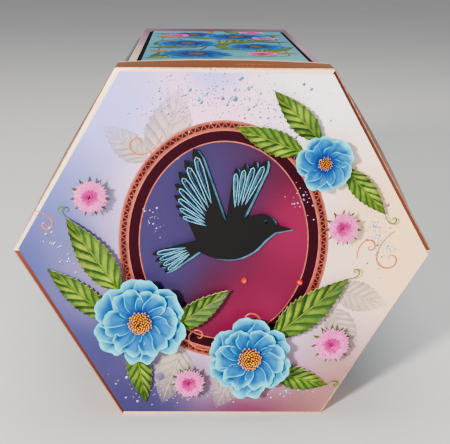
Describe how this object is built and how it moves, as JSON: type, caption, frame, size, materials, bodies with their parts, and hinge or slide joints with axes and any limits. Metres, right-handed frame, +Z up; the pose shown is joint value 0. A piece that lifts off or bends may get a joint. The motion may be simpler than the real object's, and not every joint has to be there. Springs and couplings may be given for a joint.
{
  "type": "decoupage box",
  "caption": "Hexagonal card box with a lift-off copper lid, dressed with layered paper cut-outs of a bird, blossoms and leaves on a printed panel.",
  "frame": {"origin": "under the middle of the whole piece, on the surface that it lies on", "axes": "-Y towards the decorated face of the lid, +Y along the box towards its base, +Z up, with the box lying on one of its six sides"},
  "size_m": [0.2, 0.2506, 0.1747],
  "materials": {
    "copper_mirror_card": "rose copper mirror foil on card",
    "pastel_card": "matt printed card, cream to pink and lilac",
    "printed_card": "satin printed card, periwinkle to pink and cream, plum medallion",
    "black_card": "matt",
    "teal_print": "satin print",
    "white_foam": "matt foam tape",
    "black_cut_card": "satin",
    "turquoise_card": "satin print",
    "golden_stamens": "printed, grainy",
    "blue_petals": "satin print with veins",
    "pink_petals": "satin print",
    "green_leaves": "satin print with veins",
    "red_gem": "faceted, glossy"
  },
  "bodies": {
    "root": {"bird": "black_cut_card", "bird_backing": "turquoise_card", "bird_pad_breast": "white_foam", "bird_pad_rump": "white_foam", "blossom_left_centre": "golden_stamens", "blossom_left_lower": "blue_petals", "blossom_left_pad": "white_foam", "blossom_left_upper": "blue_petals", "blossom_low_centre": "golden_stamens", "blossom_low_lower": "blue_petals", "blossom_low_pad": "white_foam", "blossom_low_upper": "blue_petals", "box_body": "pastel_card", "front_print": "printed_card", "gem_middle": "red_gem", "gem_right": "red_gem", "leaf_left_low": "green_leaves", "leaf_left_side": "green_leaves", "leaf_left_tall": "green_leaves", "leaf_left_tall_pad": "white_foam", "leaf_low_edge": "green_leaves", "leaf_low_inner": "green_leaves", "leaf_low_inner_pad": "white_foam", "leaf_low_right": "green_leaves", "leaf_low_right_pad": "white_foam", "leaf_top_inner": "green_leaves", "leaf_top_right": "green_leaves", "leaf_top_right_pad": "white_foam", "leaf_top_up": "green_leaves", "leaf_top_up_pad": "white_foam", "lid": "copper_mirror_card", "pompon_left_lower": "pink_petals", "pompon_left_pad": "white_foam", "pompon_left_upper": "pink_petals", "pompon_low_lower": "pink_petals", "pompon_low_pad": "white_foam", "pompon_low_upper": "pink_petals", "pompon_right_lower": "pink_petals", "pompon_right_pad": "white_foam", "pompon_right_upper": "pink_petals", "pompon_top_lower": "pink_petals", "pompon_top_pad": "white_foam", "pompon_top_upper": "pink_petals", "side_mat_1": "black_card", "side_mat_2": "black_card", "side_mat_3": "black_card", "side_mat_4": "black_card", "side_mat_5": "black_card", "side_mat_6": "black_card", "side_picture_1": "teal_print", "side_picture_2": "teal_print", "side_picture_3": "teal_print", "side_picture_4": "teal_print", "side_picture_5": "teal_print", "side_picture_6": "teal_print", "small_blossom_centre": "golden_stamens", "small_blossom_pad": "white_foam", "small_blossom_petals": "blue_petals"}
  },
  "joints": []
}
